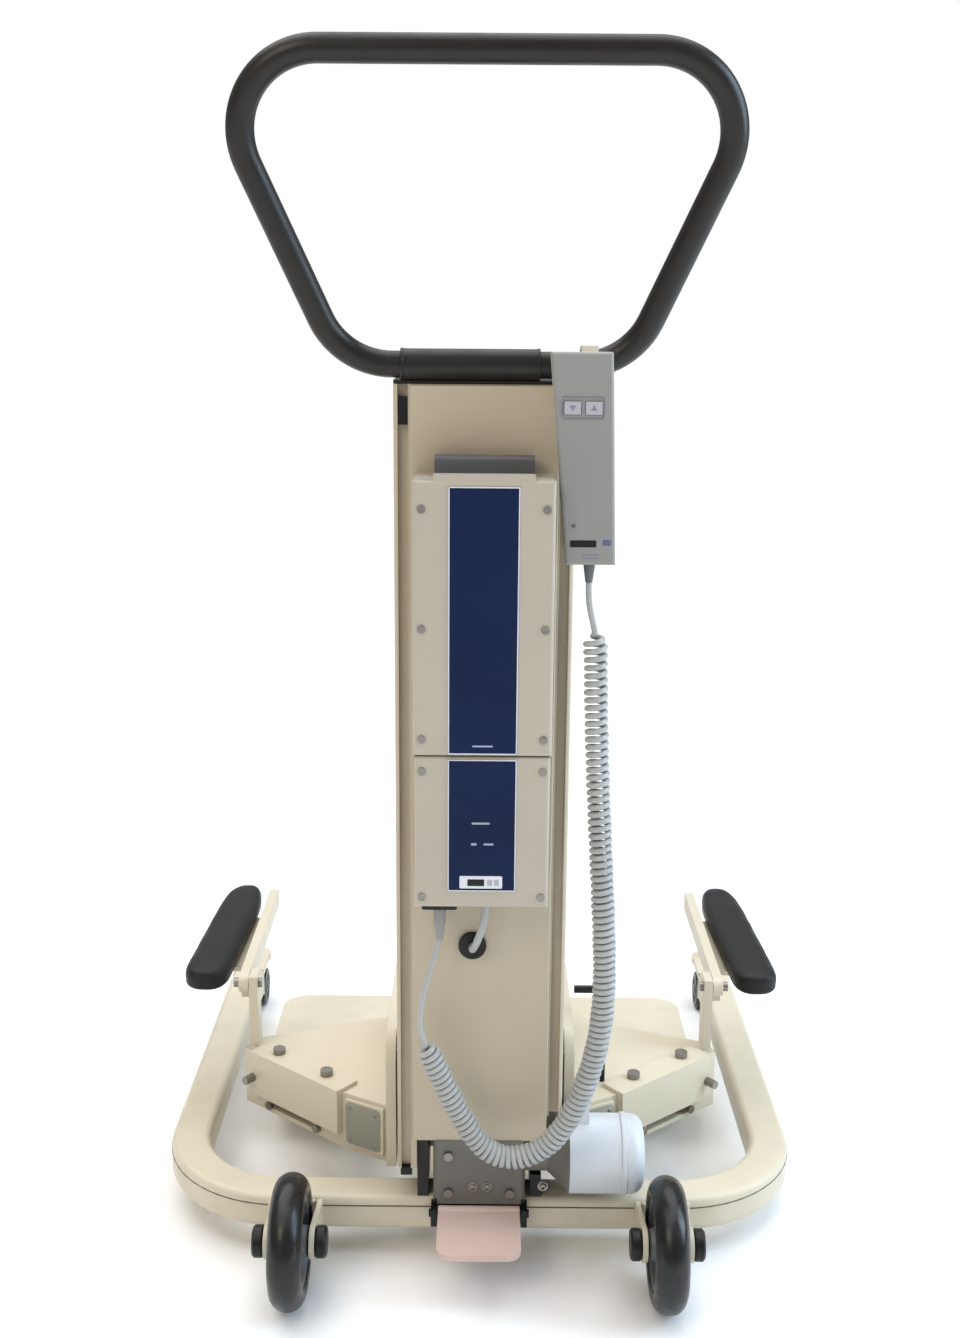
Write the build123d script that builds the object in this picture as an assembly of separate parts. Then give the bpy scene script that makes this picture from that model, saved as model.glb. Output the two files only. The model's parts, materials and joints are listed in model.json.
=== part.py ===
from build123d import *
import os
from math import atan2, cos, degrees, hypot, pi, radians, sin, tan

# Sit to stand lift. Millimetres; +X right, +Y forward to the patient, +Z up.
# Everything is drawn with Y = 0 on the rear axle and moved to the footprint's centre by save().

# ---------- driving dimensions ----------
WHEEL_R = 62.5            # rear wheel
WHEEL_X = 178
WHEEL_W = 32
AXLE_R = 6
RUNNING_GAP = 0.05        # radial clearance of a turning fit

TUBE_W = 40               # chassis tube, rounded rectangle
TUBE_H = 36
TUBE_Z = 47               # its centre height
LEG_X = 307
BAR_Y = 90
TIP_Y = 590
CORNER_R = 110

CASTOR_R = 25
CASTOR_Y = 648
CASTOR_TRAIL = 18
BRACKET_R = 22

MAST_W = 160
MAST_REAR = 66
MAST_FRONT = 140
MAST_FOOT = 100
MAST_TOP = 857
MAST_CAVITY = 61          # half width of the hollow
GROOVE_Y = 123            # side channel where the carriage rollers run
GROOVE_W = 22
GROOVE_DEPTH = 14
SLOT_X = 71.5             # slots down the rear edges
SCREW_Y = 100             # lead screw axis

COVER_W = 130
COVER_REAR = 62
COVER_FOOT = 133

BOX_REAR = 2              # rear face of the battery and control boxes
BATTERY_W = 121
BATTERY_FOOT = 541
BATTERY_TOP = 781
CONTROL_W = 119
CONTROL_FOOT = 400
CONTROL_TOP = 540
LABEL_W = 60
SHELL = 3                 # wall of the plastic cases

HANDLE_R = 11.5
HANDLE_LEAN = 18.5        # degrees back from upright
HANDLE_H = 257            # along the lean
HANDLE_LOW = 124          # half widths at the corners
HANDLE_HIGH = 229
HANDLE_FILLET = 65
HANDLE_Y = 70
HANDLE_Z = 873.5

HANDSET_TOP = 886
HANDSET_FOOT = 707
HANDSET_REAR = 22
HANDSET_D = 28

GEARBOX_REAR = 60
GEARBOX_FRONT = 128
GEARBOX_TOP = 133
MOTOR_R = 38
MOTOR_Y = 72
MOTOR_Z = 115
MOTOR_START = 87
MOTOR_END = 160

WING_FOOT = 74
WING_TOP = 137
WING_PLAN = [(94, 120), (141, 146), (255, 241), (246, 262), (94, 321)]
PLATE = 5
ARM_PIVOT_Y = 248
ARM_PIVOT_Z = 210
PAD_W = 49
PAD_L = 262
PAD_T = 25
PAD_X = 292
PAD_REAR = 235
PAD_TOE = 2.2             # degrees, front ends closer together
PAD_FOOT = 204

BAR_TOP = TUBE_Z + TUBE_H / 2
BAR_REAR = BAR_Y - TUBE_W / 2
ORIGIN_Y = (CASTOR_Y + BRACKET_R - WHEEL_R) / 2

SIDES = (-1, 1)
MIRROR = Plane.YZ


# ---------- helpers ----------
def block(x0, x1, y0, y1, z0, z1):
    """Box between two corners."""
    centre = Pos((x0 + x1) / 2, (y0 + y1) / 2, (z0 + z1) / 2)
    return centre * Box(x1 - x0, y1 - y0, z1 - z0)


def mid_block(width, y0, y1, z0, z1):
    """Box centred on X = 0."""
    return block(-width / 2, width / 2, y0, y1, z0, z1)


def upright(radius, x, y, z0, z1):
    """Round bar along Z."""
    return Pos(x, y, (z0 + z1) / 2) * Cylinder(radius, z1 - z0)


def along_x(radius, x0, x1, y, z):
    """Round bar along X."""
    return Pos((x0 + x1) / 2, y, z) * Rot(0, 90, 0) * Cylinder(radius, x1 - x0)


def along_y(radius, x, y0, y1, z):
    """Round bar along Y."""
    return Pos(x, (y0 + y1) / 2, z) * Rot(90, 0, 0) * Cylinder(radius, y1 - y0)


def both_sides(solid):
    """A solid and its mirror image across X = 0."""
    return [solid, mirror(solid, about=MIRROR)]


def on_side(solid, side):
    """The right-hand solid, or its mirror image when side is -1."""
    return solid if side > 0 else mirror(solid, about=MIRROR)


def vertical_edges(solid):
    return solid.edges().filter_by(Axis.Z)


def save(node, *solids):
    """Write one sub-part, moved so that the footprint is centred on the origin."""
    group = Compound(children=[Pos(0, -ORIGIN_Y, 0) * solid for solid in solids])
    export_step(group, f"parts/{node}.step")


def hose(points, radius):
    """Tube along straight runs joined by tangent arcs as large as the runs allow."""
    runs = [(Vector(*b) - Vector(*a)) for a, b in zip(points, points[1:])]
    radii = []
    for before, after in zip(runs, runs[1:]):
        half_turn = radians(before.get_angle(after)) / 2
        radii.append(0.45 * min(before.length, after.length) / tan(half_turn))
    print("arc radii", [round(r, 1) for r in radii])
    path = FilletPolyline(*points, radius=radii)
    start = Plane(origin=path @ 0, z_dir=path % 0)
    tube = sweep(start * Circle(radius), path=path)
    print("tube volume ratio", round(tube.volume / (pi * radius**2 * path.length), 4))
    return tube


# ---------- chassis ----------
def chassis_tube():
    corners = [(LEG_X, TIP_Y, TUBE_Z), (LEG_X, BAR_Y, TUBE_Z)]
    corners += [(-LEG_X, BAR_Y, TUBE_Z), (-LEG_X, TIP_Y, TUBE_Z)]
    path = FilletPolyline(*corners, radius=CORNER_R)
    wall = RectangleRounded(TUBE_W, TUBE_H, 7) - RectangleRounded(TUBE_W - 5, TUBE_H - 5, 4.5)
    start = Plane(origin=path @ 0, x_dir=(1, 0, 0), z_dir=path % 0)
    save("chassis_tube", sweep(start * wall, path=path))


def castor_bracket():
    tip = block(LEG_X - 20, LEG_X + 20, TIP_Y, TIP_Y + 6, TUBE_Z - 18, 65)
    tip = fillet(tip.edges().filter_by(Axis.Y), 6)
    arm = block(LEG_X - 20, LEG_X + 20, TIP_Y + 5, CASTOR_Y, 57, 65)
    arm += upright(BRACKET_R, LEG_X, CASTOR_Y, 57, 65)
    hole = upright(5 + RUNNING_GAP, LEG_X, CASTOR_Y, 50, 70)
    return tip + arm - hole


def castor_swivel(x):
    axle_y = CASTOR_Y - CASTOR_TRAIL
    web = along_x(13, x - 5.5, x + 5.5, axle_y, CASTOR_R)
    web += block(x - 5.5, x + 5.5, axle_y - 9, CASTOR_Y + 9, 30, 53)
    web += upright(10, x, CASTOR_Y, 50.4, 56.7)
    stem = upright(5, x, CASTOR_Y, 56, 75)
    nut = Pos(x, CASTOR_Y, 65.4) * extrude(RegularPolygon(8, 6), 6)
    axle = along_x(4, x - 20, x + 20, axle_y, CASTOR_R)
    return web + stem + nut + axle


def castor_wheels(x):
    axle_y = CASTOR_Y - CASTOR_TRAIL
    discs = []
    for side in SIDES:
        inner, outer = sorted((x + side * 6.5, x + side * 19.5))
        disc = along_x(CASTOR_R, inner, outer, axle_y, CASTOR_R)
        disc = fillet(disc.edges().filter_by(GeomType.CIRCLE), 3)
        discs.append(disc - along_x(4 + RUNNING_GAP, inner - 1, outer + 1, axle_y, CASTOR_R))
    return discs


def wheel_fork():
    """Two plates from the rear bar to the axle."""
    arm = Polygon((BAR_REAR, 32), (BAR_REAR, 63), (8, 76.5), (-8, 48.5), align=None)
    outline = arm + Pos(0, WHEEL_R) * Circle(16) - Pos(0, WHEEL_R) * Circle(AXLE_R)
    plates = []
    for offset in (-24, 19):
        plane = Plane.YZ.offset(WHEEL_X + offset)
        plates.append(extrude(plane * outline, PLATE))
    return plates


def rear_axle():
    shaft = along_x(AXLE_R, WHEEL_X - 30, WHEEL_X + 30, 0, WHEEL_R)
    for offset in (-35, 24):
        cap = along_x(15, WHEEL_X + offset, WHEEL_X + offset + 11, 0, WHEEL_R)
        shaft += chamfer(cap.edges().filter_by(GeomType.CIRCLE), 2)
    return shaft


def rear_wheel(x):
    """Tyre with a rounded tread and a spoked-back hub."""
    bead_r = 42
    tyre = along_x(WHEEL_R, x - WHEEL_W / 2, x + WHEEL_W / 2, 0, WHEEL_R)
    tyre = fillet(tyre.edges().filter_by(GeomType.CIRCLE), 14)
    tyre -= along_x(bead_r, x - 30, x + 30, 0, WHEEL_R)
    hub = along_x(bead_r, x - 13, x + 13, 0, WHEEL_R)
    for start in (x - 13, x + 5):
        hub -= along_x(35, start, start + 8, 0, WHEEL_R)
    hub += along_x(15, x - 18, x + 18, 0, WHEEL_R)
    hub -= along_x(AXLE_R + RUNNING_GAP, x - 30, x + 30, 0, WHEEL_R)
    return tyre, hub


def footplate():
    plate = block(-253, 253, 285, 562, 41, 45)
    plate = fillet(vertical_edges(plate), 33)
    bars = [block(x - 10, x + 10, BAR_Y + TUBE_W / 2, 545, 33, 41) for x in (-53, 53)]
    save("footplate", plate, *bars)


def build_chassis():
    chassis_tube()
    save("castor_brackets", *both_sides(castor_bracket()))
    save("wheel_forks", *[p for plate in wheel_fork() for p in both_sides(plate)])
    save("rear_axles", *both_sides(rear_axle()))
    footplate()
    for side, word in zip(SIDES, ("left", "right")):
        save(f"rear_wheel_{word}", *rear_wheel(side * WHEEL_X))
        save(f"castor_swivel_{word}", castor_swivel(side * LEG_X))
        save(f"castor_wheels_{word}", *castor_wheels(side * LEG_X))


# ---------- mast ----------
def mast_column():
    """Extrusion with roller channels in its sides and slots down its rear edges."""
    depth = MAST_FRONT - MAST_REAR
    outline = Pos(0, (MAST_REAR + MAST_FRONT) / 2) * RectangleRounded(MAST_W, depth, 5)
    cavity_depth = depth - 8
    outline -= Pos(0, (MAST_REAR + MAST_FRONT) / 2) * Rectangle(2 * MAST_CAVITY, cavity_depth)
    for side in SIDES:
        outline -= Pos(side * (80 - GROOVE_DEPTH / 2), GROOVE_Y) * Rectangle(GROOVE_DEPTH, GROOVE_W)
        outline -= Pos(side * SLOT_X, MAST_REAR + 4) * Rectangle(9, 8)
        outline -= Pos(side * 71, 93) * Rectangle(12, 30)
    column = Pos(0, 0, MAST_FOOT) * extrude(outline, MAST_TOP - MAST_FOOT)
    nut_slot = mid_block(25, 130, 150, 140, 720)
    rear_opening = mid_block(2 * MAST_CAVITY, 60, 72, 90, COVER_FOOT)
    motor_room = block(40, 81, 60, 111, 90, 158)
    return column - nut_slot - rear_opening - motor_room


def mast_ends():
    """Top cap, and the black plugs and feet in the rear slots."""
    cap = block(-80, 80, MAST_REAR, MAST_FRONT, MAST_TOP, MAST_TOP + 3)
    pieces = [fillet(vertical_edges(cap), 5)]
    for side in SIDES:
        pieces.append(block(side * SLOT_X - 4.4, side * SLOT_X + 4.4, 66.5, 73.5, 822, 846))
    foot = block(-SLOT_X - 5.5, -SLOT_X + 5.5, MAST_REAR + 1, MAST_REAR + 15, 92, MAST_FOOT)
    pieces.append(foot)
    return pieces


def mast_base():
    """Black plates that carry the mast on the rear bar; the right one clears the motor."""
    plate = block(50, MAST_CAVITY, 74, 134, BAR_TOP, 185)
    plate = fillet(plate.edges().filter_by(Axis.X).group_by(Axis.Z)[-1], 10)
    right = plate - along_x(26, 45, 65, MOTOR_Y, MOTOR_Z)
    return mirror(plate, about=MIRROR), right


def rear_cover():
    panel = mid_block(COVER_W, COVER_REAR, MAST_REAR, COVER_FOOT, MAST_TOP - 1)
    panel = fillet(vertical_edges(panel), 1.5)
    return panel - along_y(10, -8, 50, 70, 338)


def handle_path():
    lean = radians(HANDLE_LEAN)
    plane = Plane(
        origin=(0, HANDLE_Y, HANDLE_Z), x_dir=(1, 0, 0), z_dir=(0, -cos(lean), -sin(lean))
    )
    corners = [(HANDLE_HIGH, HANDLE_H), (-HANDLE_HIGH, HANDLE_H)]
    corners += [(-HANDLE_LOW, 0), (HANDLE_LOW, 0)]
    flat = FilletPolyline(*corners, radius=HANDLE_FILLET, close=True)
    return plane * flat


def handle_loop():
    path = handle_path()
    start = Plane(origin=path @ 0, z_dir=path % 0)
    return sweep(start * Circle(HANDLE_R), path=path)


def handle_saddle():
    """Sleeve round the bottom bar, with feet on the mast."""
    sleeve = along_x(HANDLE_R + 2, -72, 46, HANDLE_Y, HANDLE_Z)
    bore = along_x(HANDLE_R, -75, 75, HANDLE_Y, HANDLE_Z)
    feet = []
    for x in (-50, 24):
        feet.append(block(x - 14, x + 14, HANDLE_Y, 104, MAST_TOP + 3, MAST_TOP + 11))
    return sleeve + feet - bore


def frame_fasteners():
    """Screws of the saddle, the gearbox and the control box."""
    screws = []
    for x in (-50, 24):
        screws.append(upright(5, x, 95, MAST_TOP + 11, MAST_TOP + 16))
    for x in (-30, 30):
        for z in (78, 118):
            screws.append(along_y(4.5, x, GEARBOX_REAR - 4, GEARBOX_REAR, z))
    for x in (-53, 53):
        for z in (410, 527):
            screws.append(along_y(3.6, x, BOX_REAR - 1.2, BOX_REAR, z))
    return screws


def build_mast():
    save("mast_column", mast_column())
    save("mast_end_fittings", *mast_ends())
    save("mast_base", *mast_base())
    save("rear_cover", rear_cover())
    save("handle_loop", handle_loop())
    save("handle_saddle", handle_saddle())
    save("frame_fasteners", *frame_fasteners())


# ---------- battery and control box ----------
def case(width, z0, z1):
    """Tray that opens to the rear, against the rear cover."""
    solid = mid_block(width, BOX_REAR + 12, COVER_REAR, z0, z1)
    solid = fillet(vertical_edges(solid), 3)
    hollow = mid_block(width - 2 * SHELL, 0, COVER_REAR - SHELL, z0 + SHELL, z1 - SHELL)
    return solid - hollow


def case_cover(width, z0, z1):
    """Rear-facing cover, hollow on its inner side."""
    solid = mid_block(width, BOX_REAR, BOX_REAR + 12, z0, z1)
    solid = fillet(solid.faces().sort_by(Axis.Y)[0].edges(), 3)
    hollow = mid_block(width - 2 * SHELL, BOX_REAR + 4, 20, z0 + SHELL, z1 - SHELL)
    return solid - hollow


def label(z0, z1):
    return mid_block(LABEL_W, BOX_REAR - 0.8, BOX_REAR, z0, z1)


def battery():
    save("battery_case", case(BATTERY_W, BATTERY_FOOT, BATTERY_TOP))
    cover = case_cover(BATTERY_W, BATTERY_FOOT, BATTERY_TOP)
    lip = mid_block(86, BOX_REAR + 1, BOX_REAR + 12, BATTERY_TOP - 1, BATTERY_TOP + 5)
    save("battery_cover", cover + lip)
    save("battery_label", label(BATTERY_FOOT + 2, 776))
    screws = []
    for x in (-53, 53):
        for z in (556, 654, 757):
            screws.append(along_y(3.6, x, BOX_REAR - 1.2, BOX_REAR, z))
    save("battery_screws", *screws)
    cells = [block(x - 24, x + 24, 18, 56, BATTERY_FOOT + 6, 770) for x in (-27, 27)]
    save("battery_cells", *cells)
    grip = mid_block(86, 36, 56, BATTERY_TOP, 798)
    save("battery_handle", fillet(grip.edges().filter_by(Axis.X).group_by(Axis.Z)[-1], 4))


def control_box():
    save("control_case", case(CONTROL_W, CONTROL_FOOT, CONTROL_TOP))
    save("control_cover", case_cover(CONTROL_W, CONTROL_FOOT, CONTROL_TOP))
    save("control_label", label(416, 538))
    board = mid_block(100, 40, 42, 408, 532)
    board += mid_block(60, 30, 40, 440, 500)
    save("control_board", board)
    socket = fillet(vertical_edges(block(-54, -22, 18, 42, 391, 400)), 3)
    save("handset_socket", socket)
    ring = along_y(13, -8, COVER_REAR - 4, COVER_REAR, 338)
    ring += along_y(10, -8, COVER_REAR - 1, MAST_REAR, 338)
    ring -= along_y(3.5, -8, 50, 70, 338)
    save("cable_grommet", ring)
    route = [(4, 36, 400), (4, 35, 382), (1, 35, 366), (-4, 38, 350), (-8, 47, 339)]
    route += [(-8, 58, 338), (-8, 66, 338)]
    save("actuator_cable", hose(route, 3.5))


# ---------- drive ----------
def gearbox_housing():
    body = block(-45, 45, GEARBOX_REAR, GEARBOX_FRONT, BAR_TOP, GEARBOX_TOP)
    body = fillet(vertical_edges(body), 6)
    body += along_x(17, 44, 66, MOTOR_Y, MOTOR_Z)
    flare = Pos((66 + MOTOR_START) / 2, MOTOR_Y, MOTOR_Z) * Rot(0, 90, 0)
    body += flare * Cone(17, MOTOR_R - 2, MOTOR_START - 66)
    body -= block(-40, 40, GEARBOX_REAR + 5, GEARBOX_FRONT - 4, 70, 128)
    return body - upright(8.5, 0, SCREW_Y, 120, 140)


def motor():
    can = along_x(MOTOR_R, MOTOR_START, MOTOR_END - 20, MOTOR_Y, MOTOR_Z)
    dome = along_x(MOTOR_R, MOTOR_END - 20, MOTOR_END, MOTOR_Y, MOTOR_Z)
    dome = fillet(dome.faces().sort_by(Axis.X)[-1].edges(), 13)
    box = block(88, 106, 62, 82, 149, 171)
    box -= along_x(MOTOR_R, 80, 120, MOTOR_Y, MOTOR_Z)
    return can, dome, box


def lead_screw():
    thread = upright(8, 0, SCREW_Y, 137, 836)
    journals = upright(6, 0, SCREW_Y, 96, 851)
    return thread + journals


def worm_wheel():
    wheel = upright(22, 0, SCREW_Y, 108, 120)
    for step in range(24):
        turn = radians(15 * step)
        notch = Pos(22 * cos(turn), SCREW_Y + 22 * sin(turn), 114) * Cylinder(1.4, 14)
        wheel -= notch
    return wheel - upright(6, 0, SCREW_Y, 100, 130)


def top_bearing():
    plate = mid_block(2 * MAST_CAVITY, 72, 134, 838, 850)
    return plate - upright(6 + RUNNING_GAP, 0, SCREW_Y, 830, 860)


def pedal_bracket():
    """Two hinge ears behind the rear bar, with the pin."""
    ears = []
    for x in (-44, 44):
        ears.append(block(x - 3, x + 3, 50, BAR_REAR, 46, 64))
    strip = mid_block(94, 66, BAR_REAR, 40, 64)
    pin = along_x(4, -49, 49, 57, 57)
    return ears + [strip, pin]


def foot_pedal():
    plate = mid_block(80, -20, 52, 56, 62)
    plate = fillet(vertical_edges(plate).group_by(Axis.Y)[0], 14)
    plate += along_x(7, -40, 40, 57, 57)
    return plate - along_x(4 + RUNNING_GAP, -45, 45, 57, 57)


def build_drive():
    save("gearbox_housing", gearbox_housing())
    save("drive_motor", *motor())
    save("lead_screw", lead_screw())
    save("worm_wheel", worm_wheel())
    save("screw_top_bearing", top_bearing())
    ear_a, ear_b, strip, pin = pedal_bracket()
    save("pedal_bracket", strip + ear_a + ear_b - along_x(4, -50, 50, 57, 57), pin)
    save("foot_pedal", foot_pedal())


# ---------- lifting carriage ----------
def carriage_frame():
    """U-shaped plate round the front of the mast."""
    frame = mid_block(188, 150, 160, WING_FOOT, 215)
    for side in SIDES:
        cheek = block(84, 94, 112, 316, WING_FOOT, 215)
        cheek = fillet(cheek.edges().filter_by(Axis.X).group_by(Axis.Z)[-1], 30)
        frame += on_side(cheek, side)
    return frame


def carriage_rollers():
    rollers = []
    for z in (102, 195):
        wheel = along_x(10.4, 68, 78, GROOVE_Y, z) + along_x(4, 76, 84, GROOVE_Y, z)
        rollers += both_sides(wheel)
    return rollers


def lead_nut():
    nut = mid_block(36, 84, 118, 152, 200)
    nut = fillet(vertical_edges(nut), 6)
    nut += mid_block(23, 116, 150, 160, 190)
    return nut - upright(8 + RUNNING_GAP, 0, SCREW_Y, 140, 210)


def wing():
    """Boxed arm from the cheek plate to the armrest post."""
    outline = Polygon(*WING_PLAN, align=None)
    solid = Pos(0, 0, WING_FOOT) * extrude(outline, WING_TOP - WING_FOOT)
    hollow = offset(outline, -PLATE, kind=Kind.INTERSECTION)
    solid -= Pos(0, 0, WING_FOOT + PLATE) * extrude(hollow, WING_TOP - WING_FOOT - 2 * PLATE)
    post = block(240, 249, 238, 264, 80, ARM_PIVOT_Z + 10)
    stop = block(240, 260, 256, 276, ARM_PIVOT_Z - 21, ARM_PIVOT_Z - 12.3)
    bore = along_x(5, 230, 270, ARM_PIVOT_Y, ARM_PIVOT_Z)
    place = edge_frame(WING_PLAN[1], WING_PLAN[2])[0]
    slot = place * block(44, 106, -1, PLATE + 1, 79, 87)
    return solid + post + stop - bore - slot


def edge_frame(start, end):
    """Local frame on the wing's rear face: X along the edge, Y into the wing."""
    turn = degrees(atan2(end[1] - start[1], end[0] - start[0]))
    length = hypot(end[0] - start[0], end[1] - start[1])
    return Pos(start[0], start[1], 0) * Rot(0, 0, turn), length


def clamp_strip():
    """Angle strip on the wing's slanting edge, and the gusset plate beside it."""
    place, length = edge_frame(WING_PLAN[1], WING_PLAN[2])
    length -= 16
    strip = block(0, length, -8, 0, 92, WING_TOP + 4)
    strip += block(0, length, -8, 22, WING_TOP, WING_TOP + 4)
    inner, gusset_length = edge_frame(WING_PLAN[0], WING_PLAN[1])
    gusset = block(2, gusset_length - 6, -4, 0, 82, 133)
    return place * strip, inner * gusset


def wing_bolts():
    place, length = edge_frame(WING_PLAN[1], WING_PLAN[2])
    bolts = []
    for x in (33, 105):
        bolts.append(place * upright(6.5, x, 10, WING_TOP + 4, WING_TOP + 10))
        bolts.append(place * along_y(4.5, x + 4, -5, 0, 83))
    bolts.append(place * along_y(4.5, 128, -20, -8, 112))
    return bolts


def hinge_pin():
    return along_x(5, 236, 266, ARM_PIVOT_Y, ARM_PIVOT_Z)


def strap_post():
    x, y = 127, 175
    post = upright(3, x, y, WING_TOP, 364)
    post += along_x(4, x - 31, x + 9, y, 240)
    return post + upright(5, x, y, 320, 330)


def build_carriage():
    save("carriage_frame", carriage_frame())
    save("carriage_rollers", *carriage_rollers())
    save("lead_nut", lead_nut())
    save("wings", *both_sides(wing()))
    save("clamp_strips", *[p for piece in clamp_strip() for p in both_sides(piece)])
    save("wing_bolts", *[b for bolt in wing_bolts() for b in both_sides(bolt)])
    save("hinge_pins", *both_sides(hinge_pin()))
    save("strap_post", strap_post())


# ---------- armrests ----------
def arm_beam():
    z0 = ARM_PIVOT_Z - 10
    z1 = ARM_PIVOT_Z + 10
    beam = block(249.5, 260, ARM_PIVOT_Y, 490, z0, z1)
    beam += along_x(10, 249.5, 260, ARM_PIVOT_Y, ARM_PIVOT_Z)
    bracket = block(250, 312, 300, 440, PAD_FOOT - 5, PAD_FOOT)
    return beam + bracket - along_x(5 + RUNNING_GAP, 240, 270, ARM_PIVOT_Y, ARM_PIVOT_Z)


def arm_pad():
    pad = block(-PAD_W / 2, PAD_W / 2, -PAD_L / 2, PAD_L / 2, PAD_FOOT, PAD_FOOT + PAD_T)
    pad = fillet(vertical_edges(pad).group_by(Axis.Y)[0], 10)
    pad = fillet(vertical_edges(pad).group_by(Axis.Y)[-1], 22)
    pad = fillet(pad.faces().sort_by(Axis.Z)[-1].edges(), 6)
    return Pos(PAD_X, PAD_REAR + PAD_L / 2, 0) * Rot(0, 0, PAD_TOE) * pad


def build_armrests():
    for side, word in zip(SIDES, ("left", "right")):
        save(f"arm_beam_{word}", on_side(arm_beam(), side))
        save(f"arm_pad_{word}", on_side(arm_pad(), side))


# ---------- handset and curly cord ----------
KEY_X = {"down": 73.5, "up": 91.5}
KEY_Z = 840.5
KEY_W = 14
KEY_H = 11
KEY_GAP = 0.3


def handset_outline(inset=0):
    top = HANDSET_TOP - inset
    foot = HANDSET_FOOT + inset
    corners = [(55 + inset, top), (107 - inset, top), (113 - inset, foot), (70 + inset, foot)]
    return Polygon(*corners, align=None)


def handset_slab(outline, y0, y1):
    """Solid of an X-Z outline between two Y planes."""
    plane = Plane(origin=(0, y1, 0), x_dir=(1, 0, 0), z_dir=(0, -1, 0))
    return extrude(plane * outline, y1 - y0, dir=(0, -1, 0))


def key_block(x, gap, y0, y1):
    """One key, or with a gap the window that it moves in."""
    half_w = KEY_W / 2 + gap
    half_h = KEY_H / 2 + gap
    return block(x - half_w, x + half_w, y0, y1, KEY_Z - half_h, KEY_Z + half_h)


def handset_shells():
    middle = HANDSET_REAR + 12
    back = HANDSET_REAR + HANDSET_D
    rear_shell = handset_slab(handset_outline(), HANDSET_REAR, middle)
    rear_shell = fillet(rear_shell.faces().sort_by(Axis.Y)[0].edges(), 3)
    rear_shell -= handset_slab(handset_outline(3), HANDSET_REAR + 3, middle)
    for x in KEY_X.values():
        rear_shell -= key_block(x, KEY_GAP, 10, 40)
    front_shell = handset_slab(handset_outline(), middle, back)
    front_shell = fillet(front_shell.faces().sort_by(Axis.Y)[-1].edges(), 4)
    front_shell -= handset_slab(handset_outline(3), middle, back - 3)
    return rear_shell, front_shell + handset_hook(back)


def handset_hook(back):
    """Strap over the bottom bar of the handle."""
    x0, x1 = 82, 96
    hook = block(x0, x1, back - 2, HANDLE_Y, HANDLE_Z, HANDLE_Z + 17)
    hook += along_x(17, x0, x1, HANDLE_Y, HANDLE_Z)
    hook += block(x0, x1, HANDLE_Y, HANDLE_Y + 17, 858, HANDLE_Z)
    hook -= along_x(14, x0 - 5, x1 + 5, HANDLE_Y, HANDLE_Z)
    hook -= block(x0 - 5, x1 + 5, back, HANDLE_Y + 14, 840, HANDLE_Z)
    return hook


def handset():
    rear_shell, front_shell = handset_shells()
    save("handset_rear_shell", rear_shell)
    save("handset_front_shell", front_shell)
    for word, x in KEY_X.items():
        save(f"handset_key_{word}", key_block(x, 0, HANDSET_REAR - 1.5, HANDSET_REAR + 6))
    relief = Pos(91.5, 36, HANDSET_FOOT - 8.5) * Cone(3.2, 5.4, 17)
    save("handset_strain_relief", relief)


CORD_R = 2.8
COIL_R = 11


def curly_cord():
    upper = [(91.5, 36, 689.7), (91.5, 36, 678), (93, 35.7, 666), (96, 35, 654), (98.6, 34.4, 642)]
    save("cord_upper", hose(upper, CORD_R))
    coil = [(98.6, 34.4, 642), (101, 30, 555), (106, 24, 465), (111, 18, 385), (113.5, 14, 325)]
    coil += [(111, 12.5, 275), (101, 12, 229), (85, 12, 187), (66, 12, 160), (46, 12, 147)]
    coil += [(23, 12, 144.5), (2, 12, 156), (-14, 12.5, 181), (-32, 13, 218), (-51, 14, 260)]
    save("cord_coil", hose(coil, COIL_R))
    lower = [(-51, 14, 260), (-56, 16, 277), (-54.5, 18.5, 297), (-50, 22, 317)]
    lower += [(-44, 26.5, 338), (-38.5, 30, 358)]
    save("cord_lower", hose(lower, CORD_R))
    plug = upright(5.5, -38, 30, 373, 391)
    plug += Pos(-38, 30, 365.5) * Cone(3.2, 5, 15)
    save("cord_plug", plug)


os.makedirs("parts", exist_ok=True)
build_chassis()
build_mast()
battery()
control_box()
build_drive()
build_carriage()
build_armrests()
handset()
curly_cord()
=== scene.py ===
import json
import math

import bmesh
import bpy
from mathutils import Matrix, Vector, noise


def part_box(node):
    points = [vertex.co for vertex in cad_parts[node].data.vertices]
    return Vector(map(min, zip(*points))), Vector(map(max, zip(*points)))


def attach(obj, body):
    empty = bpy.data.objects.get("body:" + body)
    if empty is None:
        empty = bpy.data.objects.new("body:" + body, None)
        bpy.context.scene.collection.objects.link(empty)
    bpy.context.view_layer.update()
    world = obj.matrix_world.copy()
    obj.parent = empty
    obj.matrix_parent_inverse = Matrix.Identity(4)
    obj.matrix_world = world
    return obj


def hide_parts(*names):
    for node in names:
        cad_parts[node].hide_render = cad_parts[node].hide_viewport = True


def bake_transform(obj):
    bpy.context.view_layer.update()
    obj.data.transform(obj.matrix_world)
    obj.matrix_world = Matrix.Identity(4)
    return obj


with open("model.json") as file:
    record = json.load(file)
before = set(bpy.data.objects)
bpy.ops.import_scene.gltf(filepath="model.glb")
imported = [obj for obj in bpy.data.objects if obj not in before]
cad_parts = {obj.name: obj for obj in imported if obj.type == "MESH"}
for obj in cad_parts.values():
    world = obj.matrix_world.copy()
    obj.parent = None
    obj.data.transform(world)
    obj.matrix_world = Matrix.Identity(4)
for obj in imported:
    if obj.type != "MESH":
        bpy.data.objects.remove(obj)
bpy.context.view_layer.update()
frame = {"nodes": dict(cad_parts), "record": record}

ORIGIN_Y = 303.75         # the rear axle lies this far behind the frame's origin, in mm
SIDES = {"left": -1, "right": 1}


def at(x, y, z):
    """A point given in mm from the rear axle, in the frame's metres."""
    return Vector((x / 1000, (y - ORIGIN_Y) / 1000, z / 1000))


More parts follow.
